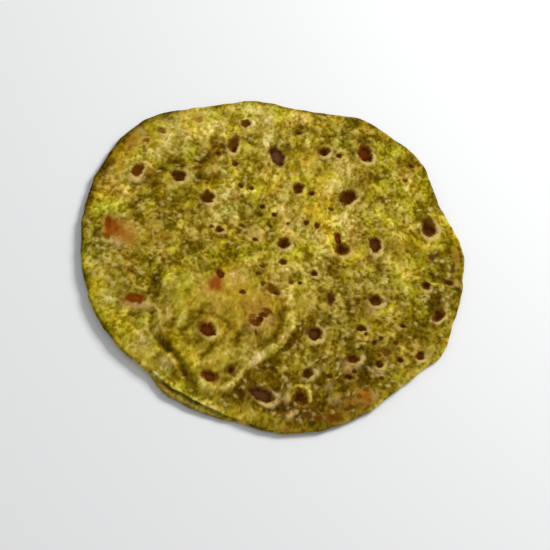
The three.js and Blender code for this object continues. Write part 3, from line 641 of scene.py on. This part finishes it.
        (15, -32, 10, 12, 0.25), (-90, -26, 12, 20, 0.6), (-100, 2, 8, 26, 0.9), (-99, 22, 8, 24, 0.9),
        (-94, 40, 8, 20, 0.6, -20), (18, 56, 12, 10, 0.3), (66, -47, 16, 12, 0.4), (27, -84, 10, 16, 0.7),
        (86, -4, 12, 16, 0.4), (1, -61, 10, 14, 0.5), (0, -14, 14, 10, 0.2),
    ],
    "light": [  # paler dough
        (12, 45, 62, 50, 0.5), (-36, -44, 20, 34, 0.5, -15), (-30, 80, 50, 22, 0.75, 25),
        (2, 0, 24, 20, 0.35), (-11, -29, 28, 28, 1.3), (-60, 64, 30, 24, 0.4), (60, 46, 22, 20, 0.35),
        (30, 22, 28, 28, 0.35), (-76, -52, 22, 32, 0.35), (60, 8, 40, 34, 0.5), (-15, -70, 24, 20, 0.5),
        (-88, 12, 16, 50, 0.9), (-60, 68, 36, 24, 0.4, 30), (-24, 87, 54, 20, 0.7),
        (-77, 41, 20, 28, 0.6), (26, 24, 44, 34, 0.5), (60, 50, 30, 24, 0.5), (-82, -34, 16, 20, 0.3),
        (-50, -75, 40, 14, 0.8, -32), (-26, 26, 30, 20, 0.4), (0, 32, 24, 24, 0.3),
        (-62, 70, 26, 18, 0.4, 30), (52, 66, 28, 18, 0.5, -40), (-35, 42, 24, 14, 0.4),
        (-37, -3, 32, 18, 0.4), (-28, -89, 24, 10, 0.9, -20), (-68, -62, 22, 14, 0.6, -45),
        (-15, -45, 20, 20, 0.3), (32, 73, 16, 10, 0.5), (-77, 44, 14, 16, 0.6), (-5, -4, 28, 18, 0.45),
        (45, -75, 18, 16, 0.4), (75, 0, 20, 20, 0.3), (60, -30, 20, 18, 0.3), (-76, 52, 16, 16, 0.3),
        (-68, -60, 18, 16, 0.25), (0, 30, 16, 14, 0.25), (22, 64, 30, 20, 0.35), (-24, 75, 20, 14, 0.4),
        (-30, 44, 14, 14, 0.25), (22, 14, 26, 16, 0.4), (-31, 8, 16, 22, 0.4), (60, 14, 14, 12, 0.3),
        (60, -32, 14, 12, 0.4), (30, 32, 14, 12, 0.3), (60, 75, 14, 14, 0.2), (0, 0, 14, 14, 0.3),
        (62, 22, 14, 14, 0.5), (-68, 32, 18, 16, 0.4), (40, 72, 12, 12, 0.4), (-36, 6, 16, 12, 0.25),
        (-15, -60, 14, 12, 0.4), (-14, -97, 26, 8, 0.7), (60, 62, 14, 14, 0.3), (-77, 50.4, 12, 11, 0.7),
        (-61, 66, 12, 10, 0.5), (-74, -21, 10, 7, 0.5, -15),
    ],
}
patchEdge = {"width": 1.1, "squareness": 2.4, "reach": 1.3}  # shares of the patch's size


def readPatches(kind, x, y):
    total = np.zeros_like(x)
    for middleX, middleY, width, length, strength, *turn in patches[kind]:
        near = np.hypot(x - middleX, y - middleY) < patchEdge["reach"] * max(width, length)
        across, along = ovalFrame(x[near], y[near], middleX, middleY, *turn)
        share = np.hypot(across / width, along / length) * 2
        total[near] += strength * bell(share / patchEdge["width"], patchEdge["squareness"])
    return total


richness = {
    "middle": 0.5, "light": 0.35, "shade": -0.4,
    "mottle": (0.75, 9, 103, 2),  # soft noise
    "bend": (6, 15, (91, 97), 2),
    "reach": (-0.1, 1.1),
}


def readRichness(x, y):  # 0 where the dough stays dark and leafy, 1 where it is yellow
    bentX, bentY = bentPlaces(x, y, richness["bend"])
    total = richness["middle"] + unevenAt(bentX, bentY, richness["mottle"])
    for kind in ("light", "shade"):
        total += richness[kind] * readPatches(kind, x, y)
    return smoothStep(total, *richness["reach"])


# Painted light on the rim: its rounding is painted darker as shade on the side away from the lamp, and
# paler as a highlight on the side towards it. Deep in its split the rim is painted darker as shade, and the
# split's lower leaf gets a cream tint.
rimLightAndSplit = {
    "pale": 0.5,
    "litSide": -35,  # degrees, the side of the rim towards the lamp, where its rounding gets a painted highlight
    "shadeFrom": 0.1,  # cosine of the angle to the lit side where the painted shade begins
    "shadeBand": (0.5, 4.5), "highlightBand": (0, 2.2),  # mm in from the rim
    "gap": (0.15, 0.3), "lowerLeaf": (0.46, 0.58),  # shares of the way down the split's section
    "leafCatchesLight": 0.58,
    "leafCream": 0.2,
    "splitBand": (2, 6),  # mm in from the rim
}


def readRimLight(angle, inFromRim):  # below 0 where the rim is painted darker as shade, on its side away from the lamp, above 0 where it is painted paler as a highlight on its lit side
    side = np.cos(np.radians(angle - rimLightAndSplit["litSide"]))
    dark = np.minimum(side - rimLightAndSplit["shadeFrom"], 0) * (1 - smoothStep(inFromRim, *rimLightAndSplit["shadeBand"]))
    pale = np.maximum(side, 0) * (1 - smoothStep(inFromRim, *rimLightAndSplit["highlightBand"]))
    return dark + rimLightAndSplit["pale"] * pale


def readSplit(angle, inFromRim, down):  # 1 deep in the split of the rim, where it is painted darker as shade, and 1 on its lower leaf
    opened = splitShare(angle)
    atRim = 1 - smoothStep(inFromRim, *rimLightAndSplit["splitBand"])
    lowerLeaf = opened * smoothStep(down, *rimLightAndSplit["lowerLeaf"])
    gap = opened * smoothStep(down, *rimLightAndSplit["gap"]) * (1 - rimLightAndSplit["leafCatchesLight"] * lowerLeaf)
    return gap * atRim, lowerLeaf * atRim


def topAt(x, y):
    inside = smoothStep(rimAt(angleOf(x, y)) - np.hypot(x, y), 0, bread["thinnedBand"])
    thickness = mix(bread["rimThickness"], bread["sheetThickness"], inside)
    puffed = puffShare(x, y)
    rough = 1 - bread["puffSmoothing"] * puffed
    relief = waveHeight(x, y) + bread["puff"]["height"] * puffed + unevenAt(x, y, bread["crumple"])
    relief += rough * (crumbHeight(x, y) + bread["stroke"]["height"] * strokeShare(x, y))
    relief += bread["streak"]["height"] * streakShare(x, y)
    relief += bread["fleckHeight"] * readPatches("fleck", x, y)
    relief += readMarks(x, y)["relief"] + readWrinkles(x, y)[0]
    for fold in bread["folds"]:
        relief += fold["height"] * foldProfile(fold, x, y)
    return undersideAt(x, y) + thickness + relief * mix(bread["rimRelief"], 1, inside)


def rimSection(share, angle):  # mm out from the rim, and share of the height
    opened = splitShare(angle)
    rounding = bread["rimRounding"]
    parted = splineAt(bread["splitSection"], share)
    out = mix(rounding * (np.sin(math.pi * share) - 1), parted[..., 0], opened)
    up = mix((1 + np.cos(math.pi * share)) / 2, parted[..., 1], opened)
    return out, up


def squareAngle(x, y):  # angle on the bread of a place on the unit square
    isSide = np.abs(x) >= np.abs(y)
    with np.errstate(divide="ignore", invalid="ignore"):
        onSide = np.where(x > 0, 0, 180) + 45 * y / x
        onEnd = np.where(y > 0, 90, 270) - 45 * x / y
    return np.nan_to_num(np.where(isSide, onSide, onEnd)) % 360


def makeBlank():  # two gridded squares with a wall between them; z runs from 0 down to -1
    bm = bmesh.new()
    squares = bread["gridSquares"]
    loops = bread["rimLoops"]
    bmesh.ops.create_grid(bm, x_segments=squares, y_segments=squares, size=1)
    edge = [line for line in bm.edges if line.is_boundary]
    for loop in range(1, loops):
        grown = bmesh.ops.extrude_edge_only(bm, edges=edge)["geom"]
        corners = [item for item in grown if isinstance(item, bmesh.types.BMVert)]
        for corner in corners:
            corner.co.z = -loop / loops
        edge = [item for item in grown if isinstance(item, bmesh.types.BMEdge) and item.is_boundary]
    low = bmesh.ops.create_grid(bm, x_segments=squares // 2, y_segments=squares // 2, size=1)["verts"]
    bmesh.ops.translate(bm, verts=low, vec=(0, 0, -1))
    lowEdge = {line for corner in low for line in corner.link_edges if line.is_boundary}
    bmesh.ops.bridge_loops(bm, edges=edge + list(lowEdge))
    bmesh.ops.recalc_face_normals(bm, faces=bm.faces)
    mesh = bpy.data.meshes.new("bread")
    bm.to_mesh(mesh)
    bm.free()
    return mesh


def placeOnBread(u, v, down):  # carries the blank's points to their places on the bread
    angle = squareAngle(u, v)
    out, up = rimSection(down, angle)
    radius = np.maximum(np.abs(u), np.abs(v)) * (rimAt(angle) + out)
    x = radius * np.cos(np.radians(angle))
    y = radius * np.sin(np.radians(angle))
    isTop = down == 0
    isLow = down == 1
    isWall = ~isTop & ~isLow
    height = np.zeros_like(x)
    height[isTop] = topAt(x[isTop], y[isTop])
    height[isLow] = undersideAt(x[isLow], y[isLow])
    wallAngle = angle[isWall]
    ends = []
    for share in (0, 1):
        endRadius = rimAt(wallAngle) + rimSection(np.full_like(wallAngle, share), wallAngle)[0]
        ends.append((endRadius * np.cos(np.radians(wallAngle)), endRadius * np.sin(np.radians(wallAngle))))
    height[isWall] = mix(undersideAt(*ends[1]), topAt(*ends[0]), up[isWall])
    return np.stack([x, y, height], axis=1), isTop, isLow


speckles = {  # fine things strewn over the upper face
    "seed": 7,
    "reach": 99,  # mm from the middle
    # how many, width, length, and the share that stays on dark and on rich dough
    "kinds": {
        # grains are raised and painted pale: partly the dough's own colour, partly a painted highlight of
        # oil on their tops
        "grain": (1500, (1.4, 3.0), (1.6, 4.0), (1, 0.25)),
        "leaf": (700, (1.0, 2.6), (2, 7), (0.8, 0.8)),
        "pit": (650, (1.0, 2.6), (1.0, 2.6), (0.3, 1)),
    },
    "strength": (0.45, 1),
    "edge": 0.5,  # mm past its length that a speckle still changes
    "bend": (1.1, 2.2, (41, 43), 2),
    "grainHeight": 0.3, "pitDepth": 0.22,
    "rimBand": (0.5, 4),  # mm in from the rim
    "charBand": (0.9, 1.3),  # shares of a blister's size
    "toastHides": 0.9, "puffHides": 0.8,  # shares of the grains
}


def strewSpeckles(x, y, rich):
    chance = random.Random(speckles["seed"])
    points = kdtree.KDTree(len(x))
    for index, place in enumerate(zip(x.tolist(), y.tolist())):
        points.insert((*place, 0), index)
    points.balance()
    found = {kind: np.zeros_like(x) for kind in speckles["kinds"]}
    bentX, bentY = bentPlaces(x, y, speckles["bend"])
    for kind, (count, widths, lengths, staying) in speckles["kinds"].items():
        for _ in range(count):
            radius = speckles["reach"] * math.sqrt(chance.random())
            heading = math.radians(chance.uniform(0, 360))
            middleX = radius * math.cos(heading)
            middleY = radius * math.sin(heading)
            width = chance.uniform(*widths)
            length = max(width, chance.uniform(*lengths))
            turn = chance.uniform(0, 180)
            strength = chance.uniform(*speckles["strength"])
            luck = chance.random()
            near = points.find_range((middleX, middleY, 0), length + speckles["edge"])
            index = np.array([item[1] for item in near], int)
            if len(index) == 0 or luck > mix(*staying, rich[index[0]]):
                continue
            across, along = ovalFrame(bentX[index], bentY[index], middleX, middleY, turn)
            mark = strength * bell(np.hypot(across / width, along / length) * 2)
            found[kind][index] = np.maximum(found[kind][index], mark)
    return found


def readFinish(x, y, down, isTop, isLow):  # everything that the dough's material reads
    angle = angleOf(x, y)
    inFromRim = rimAt(angle) - np.hypot(x, y)
    # the underside has blisters and patches of its own
    ownX = np.where(isLow, y, x)
    ownY = np.where(isLow, x, y)
    marks = readMarks(ownX, ownY)
    finish = {name: marks[name] for name in ("burn", "warmth", "halo", "litShare", "moat", "charShare")}
    for kind in patches:
        finish[kind] = readPatches(kind, ownX, ownY)
    finish["rich"] = readRichness(ownX, ownY)

    strewn = strewSpeckles(x[isTop], y[isTop], finish["rich"][isTop])
    for kind, values in strewn.items():
        finish[kind] = np.zeros_like(x)
        finish[kind][isTop] = values
    bare = smoothStep(finish["charShare"], *speckles["charBand"])
    bare *= smoothStep(inFromRim, *speckles["rimBand"])
    smooth = puffShare(x, y)
    unfried = 1 - np.clip(finish["toast"], 0, speckles["toastHides"])
    finish["grain"] *= bare * unfried * (1 - speckles["puffHides"] * smooth)
    relief = speckles["grainHeight"] * finish["grain"] - speckles["pitDepth"] * finish["pit"] * bare

    # how pale the folds are painted: painted shade in the crease and, on the roll, partly a painted
    # highlight
    pale = np.zeros_like(x)
    for fold in bread["folds"]:
        profile = foldProfile(fold, x, y)
        pale += fold["pale"] * profile
        smooth = np.maximum(smooth, fold["calm"] * profile)
    rough = 1 - bread["puffSmoothing"] * smooth
    finish["fold"] = pale * ~isLow * (1 + unevenAt(x, y, bread["foldBreaks"]))
    finish["wrinkle"] = readWrinkles(x, y)[1] * ~isLow
    finish["smooth"] = smooth
    finish["crumple"] = unevenAt(x, y, bread["crumple"])
    finish["crumb"] = crumbHeight(x, y) * rough
    finish["stroke"] = strokeShare(x, y) * rough
    finish["streak"] = streakShare(x, y)
    # painted shade and highlight on the rim's rounding, and painted shade deep in the split
    finish["edge"] = readRimLight(angle, inFromRim)
    finish["gap"], lowerLeaf = readSplit(angle, inFromRim, down)
    finish["cream"] += rimLightAndSplit["leafCream"] * lowerLeaf
    return finish, relief


def makeBread():
    mesh = makeBlank()
    blank = np.zeros(len(mesh.vertices) * 3)
    mesh.vertices.foreach_get("co", blank)
    u, v, z = blank.reshape(-1, 3).T
    places, isTop, isLow = placeOnBread(u, v, -z)
    print("bread placed,", len(places), "points")

    finish, relief = readFinish(places[:, 0], places[:, 1], -z, isTop, isLow)
    places[:, 2] += relief
    for name, values in finish.items():
        attribute = mesh.attributes.new(name, "FLOAT", "POINT")
        attribute.data.foreach_set("value", values.astype(np.float32))

    # over the middle of the solid
    middle = (places[:, :2].min(0) + places[:, :2].max(0)) / 2
    places[:, :2] += np.array((cadLow + cadHigh)[:2]) / 2 / mm - middle
    mesh.vertices.foreach_set("co", (places * mm).ravel())
    mesh.shade_smooth()
    mesh.update()
    item = link(bpy.data.objects.new("paratha_bread", mesh))
    print("bread shaped,", len(mesh.polygons), "faces")
    return item


doughMaterial = bpy.data.materials.new("dough")
doughMaterial.use_nodes = True
tree = doughMaterial.node_tree
tree.nodes.clear()


def newNode(kind, wired=None, **settings):
    node = tree.nodes.new(kind)
    for name, value in settings.items():
        setattr(node, name, value)
    for socket, value in (wired or {}).items():
        if isinstance(value, bpy.types.NodeSocket):
            tree.links.new(value, node.inputs[socket])
        else:
            node.inputs[socket].default_value = value
    return node


def calc(operation, *values):
    wired = dict(enumerate(values))
    return newNode("ShaderNodeMath", wired, operation=operation).outputs[0]


def product(one, other):
    return calc("MULTIPLY", one, other)


def fade(value, low, high, start=0.0, end=1.0):  # low becomes start, high becomes end
    wired = {"Value": value, "From Min": low, "From Max": high, "To Min": start, "To Max": end}
    return newNode("ShaderNodeMapRange", wired, interpolation_type="SMOOTHSTEP").outputs[0]


def layer(amount, under, over, blend="MIX"):  # one colour over another
    wired = {0: amount, 6: under, 7: over}
    return newNode("ShaderNodeMix", wired, data_type="RGBA", blend_type=blend).outputs[2]


def bumps(place, size, detail, bend=0.0):  # noise of that size in mm, 0 to 1
    wired = {"Vector": place, "Scale": 1 / size, "Detail": detail, "Distortion": bend}
    return newNode("ShaderNodeTexNoise", wired).outputs["Fac"]


def readPoint(name):
    return newNode("ShaderNodeAttribute", attribute_name=name).outputs["Fac"]


# A fade is given by where it starts and ends, and by the shares there.
dough = {
    # share of the way from dark to pale, colour
    "tones": [
        (0.05, paint(75, 54, 0)), (0.2, paint(92, 70, 1)), (0.3, paint(107, 85, 4)),
        (0.4, paint(123, 101, 11)), (0.5, paint(143, 120, 19)), (0.6, paint(164, 140, 31)),
        (0.7, paint(184, 160, 45)), (0.8, paint(202, 178, 63)), (0.92, paint(220, 196, 86)),
    ],
    "richTone": (0, 1, 0.38, 0.619),
    # size in mm, how bent, weight: the mottling, and a grit that is lighter and darker of one hue
    "mottle": [(15, 0.5, 0.4), (8, 0.5, 0.26), (3.4, 0.9, 0.22)],
    "grit": [(3.6, 0.9, 0.38), (2.0, 0.55, 0.6)],
    "onSmooth": (0, 1, 1, 0.62),  # how they weaken on the puffed part
    # how much each of the form's own features lifts or lowers the tone, and the grit. Edge is painted light
    # and shade on the rim, gap is painted shade in the split, and fold and wrinkle are painted shade in
    # creases and partly painted highlight on ridges
    "toneOf": {
        "crumb": 0.3, "crumple": 0.3, "streak": 0.16, "fleck": 0.17, "fold": 0.34,
        "wrinkle": 0.28, "light": 0.1, "shade": -0.14, "moat": -0.05, "edge": 0.2, "gap": -0.4,
    },
    "gritOf": {"crumb": 0.58, "stroke": 0.18},
    "gritOnTone": (0.35, 0.65, 1.2, 0.86),
    "gritReach": (-0.188, 0.188),
    "gritColours": ((0.6, 0.56, 0.04, 1), (1.44, 1.52, 3.9, 1)),
    # size in mm, then greener and browner, richer and duller
    "tints": [
        (12, (0.905, 0.99, 0.9, 1), (1.07, 0.975, 0.88, 1)),
        (19, (0.97, 1.005, 0.36, 1), (1.035, 0.99, 1.5, 1)),
    ],
    "tintNoise": (1, 0.5),  # detail, how bent
    "tintReach": (0.32, 0.68),
    "greenReach": (-1, 1),
    "greenColours": ((1.12, 0.97, 1.0, 1), (0.88, 1.03, 1.0, 1)),
    "medium": (3, 2), "fine": (1.1, 2),  # the noises that break edges up: size in mm, detail
    # colours over the dough, the lowest first: medium noise makes an edge ragged or breaks a layer
    "layers": [
        {"of": "leaf", "colour": paint(92, 81, 8), "fade": (0.2, 0.8, 0, 0.35)},
        {"of": "gold", "colour": paint(190, 167, 42), "broken": (0.35, 0.6, 0.1, 0.7)},
        {   # fried pale orange
            "of": "toast", "colour": paint(182, 130, 46),
            "ragged": (0.35, 0.65, -0.13, 0.13), "fade": (0.05, 0.8, 0, 0.75),
        },
        {   # fried red-brown
            "of": "toast", "colour": paint(148, 73, 14),
            "ragged": (0.35, 0.65, -0.13, 0.13), "fade": (0.45, 1.3, 0, 0.93),
        },
        {"of": "cream", "colour": paint(212, 174, 108), "broken": (0.3, 0.6, 0.3, 0.9)},
        # pale on the raised grains: partly the dough's own colour, partly a painted highlight of oil on
        # their tops
        {"of": "grain", "colour": paint(200, 176, 96), "fade": (0.1, 0.8, 0, 0.78)},
        {"of": "pit", "colour": paint(84, 56, 2), "fade": (0.2, 0.8, 0, 0.6)},
    ],
    "roughness": (0.3, 0.7, 0.55, 0.75),
    "relief": {"fine": 0.1, "medium": 0.85},
    "bump": {"Strength": 0.5, "Distance": 0.001},
    "shine": {"IOR": 1.45, "Specular IOR Level": 0.01},
}

char = {
    "brown": paint(104, 68, 6), "grey": paint(104, 70, 42), "red": paint(142, 58, 12),
    "black": paint(58, 24, 1),
    # the pale ring's colour on its lit side, and a darker copy of it painted as shade on the side away from
    # the lamp
    "halo": paint(216, 187, 108), "haloShaded": paint(152, 120, 64),
    "raggedFine": (0.3, 0.7, -0.07, 0.07), "raggedMedium": (0.3, 0.7, -0.14, 0.14),
    # how far out from the blister's middle, and how burnt it has to be
    "brownLies": ((0.8, 1.55, 0.9, 0), (0, 0.45)),
    "crustLies": ((0.75, 1.3, 1, 0), (0.1, 0.6)),
    "haloFade": (0, 1, 0, 0.84), "haloBroken": (0.3, 0.6, 0.6, 1.3),
    # the black starts to fade further out in a reddish or greyish blister, whose middle is open
    "blackStart": (0, 0.8, 0.45, 0.75), "blackEnd": (1.15, 1, 0), "openMiddle": (0.25, 0.8, 0.85, 0),
    "blackBurn": (0.15, 0.85), "blackBroken": (0.35, 0.65, 1.1, 0.8),
}


def mottled(place, noises):
    total = 0.0
    for size, bend, weight in noises:
        centred = calc("SUBTRACT", bumps(place, size, 0, bend), 0.5)
        total = calc("MULTIPLY_ADD", centred, weight, total)
    return product(total, fade(readPoint("smooth"), *dough["onSmooth"]))


def lifted(total, weights):  # by the form's own features
    for name, weight in weights.items():
        total = calc("MULTIPLY_ADD", readPoint(name), weight, total)
    return total


def doughColour(place):
    tone = fade(readPoint("rich"), *dough["richTone"])
    tone = calc("ADD", tone, mottled(place, dough["mottle"]))
    tone = lifted(tone, dough["toneOf"])
    ramp = newNode("ShaderNodeValToRGB", {"Fac": tone})
    stops = ramp.color_ramp.elements
    while len(stops) < len(dough["tones"]):
        stops.new(0.5)
    for stop, (at, colour) in zip(stops, dough["tones"]):
        stop.position = at
        stop.color = colour

    grit = lifted(mottled(place, dough["grit"]), dough["gritOf"])
    grit = product(grit, fade(tone, *dough["gritOnTone"]))
    tints = [layer(fade(grit, *dough["gritReach"]), *dough["gritColours"])]
    for size, one, other in dough["tints"]:
        broad = bumps(place, size, *dough["tintNoise"])
        tints.append(layer(fade(broad, *dough["tintReach"]), one, other))
    green = fade(readPoint("green"), *dough["greenReach"])
    tints.append(layer(green, *dough["greenColours"]))
    colour = ramp.outputs["Color"]
    for tint in tints:
        colour = layer(1.0, colour, tint, "MULTIPLY")
    return colour


def layered(colour, medium):
    for over in dough["layers"]:
        amount = readPoint(over["of"])
        if "ragged" in over:
            amount = calc("ADD", amount, fade(medium, *over["ragged"]))
        if "fade" in over:
            amount = fade(amount, *over["fade"])
        if "broken" in over:
            amount = product(amount, fade(medium, *over["broken"]))
        colour = layer(amount, colour, over["colour"])
    return colour


def charred(colour, medium, fine):  # brown edge, pale ring, crust and black middle; the ring is painted lighter on its lit side and darker away from it, painted highlight and painted shade
    burn = readPoint("burn")
    warmth = readPoint("warmth")
    share = calc("ADD", readPoint("charShare"), fade(fine, *char["raggedFine"]))
    share = calc("ADD", share, fade(medium, *char["raggedMedium"]))

    def lying(outward, burnt):
        return product(fade(share, *outward), fade(burn, *burnt))

    colour = layer(lying(*char["brownLies"]), colour, char["brown"])
    # lit and shaded copies of the ring's colour: painted highlight and painted shade
    ring = layer(readPoint("litShare"), char["haloShaded"], char["halo"])
    halo = product(readPoint("halo"), fade(medium, *char["haloBroken"]))
    colour = layer(fade(halo, *char["haloFade"]), colour, ring)
    crust = layer(fade(warmth, 0, -1), char["brown"], char["grey"])
    crust = layer(fade(warmth, 0, 1), crust, char["red"])
    colour = layer(lying(*char["crustLies"]), colour, crust)

    tinted = calc("ABSOLUTE", warmth)
    opened = product(tinted, fade(share, *char["openMiddle"]))
    black = fade(share, fade(tinted, *char["blackStart"]), *char["blackEnd"])
    black = product(black, fade(burn, *char["blackBurn"]))
    black = product(black, fade(medium, *char["blackBroken"]))
    black = product(black, calc("SUBTRACT", 1.0, opened))
    return layer(black, colour, char["black"])


def paintDough():
    coordinates = newNode("ShaderNodeTexCoord").outputs["Object"]
    stretch = math.sqrt(bread["drawnOut"])
    scale = (stretch / mm, 1 / stretch / mm, 1 / mm)
    place = newNode("ShaderNodeMapping", {"Vector": coordinates, "Scale": scale}).outputs[0]
    medium = bumps(place, *dough["medium"])
    fine = bumps(place, *dough["fine"])
    colour = layered(doughColour(place), medium)
    colour = charred(colour, medium, fine)
    height = product(fine, dough["relief"]["fine"])
    height = calc("MULTIPLY_ADD", medium, dough["relief"]["medium"], height)
    bump = newNode("ShaderNodeBump", {"Height": height, **dough["bump"]})
    shader = newNode("ShaderNodeBsdfPrincipled", {
        "Base Color": colour, "Roughness": fade(medium, *dough["roughness"]),
        "Normal": bump.outputs[0], **dough["shine"],
    })
    newNode("ShaderNodeOutputMaterial", {"Surface": shader.outputs[0]})


paintDough()
print("dough painted")

breadPiece = makeBread()
breadPiece.data.materials.append(doughMaterial)
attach(breadPiece, "root")
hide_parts("paratha")

room = {
    "floor": 3.0,  # m across
    "floorColour": paint(242, 242, 241),
    "floorRoughness": 0.8,
    "air": paint(225, 228, 232),
    "airStrength": 0.42,
    # where it hangs, size across, strength in watts
    "lamps": [
        ((0.62, 0.78, 0.8), 0.5, 15),
        ((-0.8, -0.5, 1.2), 1.4, 3),
    ],
}


def makeRoom():
    bm = bmesh.new()
    bmesh.ops.create_grid(bm, x_segments=1, y_segments=1, size=room["floor"] / 2)
    mesh = bpy.data.meshes.new("floor")
    bm.to_mesh(mesh)
    bm.free()
    floor = link(bpy.data.objects.new("floor", mesh))
    plain = bpy.data.materials.new("plain_floor")
    plain.use_nodes = True
    coat = plain.node_tree.nodes["Principled BSDF"].inputs
    coat["Base Color"].default_value = room["floorColour"]
    coat["Roughness"].default_value = room["floorRoughness"]
    mesh.materials.append(plain)
    for place, size, strength in room["lamps"]:
        lamp = bpy.data.lights.new("softbox", "AREA")
        lamp.size = size
        lamp.energy = strength
        hung = link(bpy.data.objects.new("softbox", lamp))
        hung.location = place
        hung.rotation_euler = (-Vector(place)).to_track_quat("-Z", "Y").to_euler()
    world = bpy.data.worlds.new("air")
    bpy.context.scene.world = world
    world.use_nodes = True
    backdrop = world.node_tree.nodes["Background"].inputs
    backdrop["Color"].default_value = room["air"]
    backdrop["Strength"].default_value = room["airStrength"]
    bpy.context.scene.view_settings.view_transform = "Standard"


makeRoom()
print("room lit")
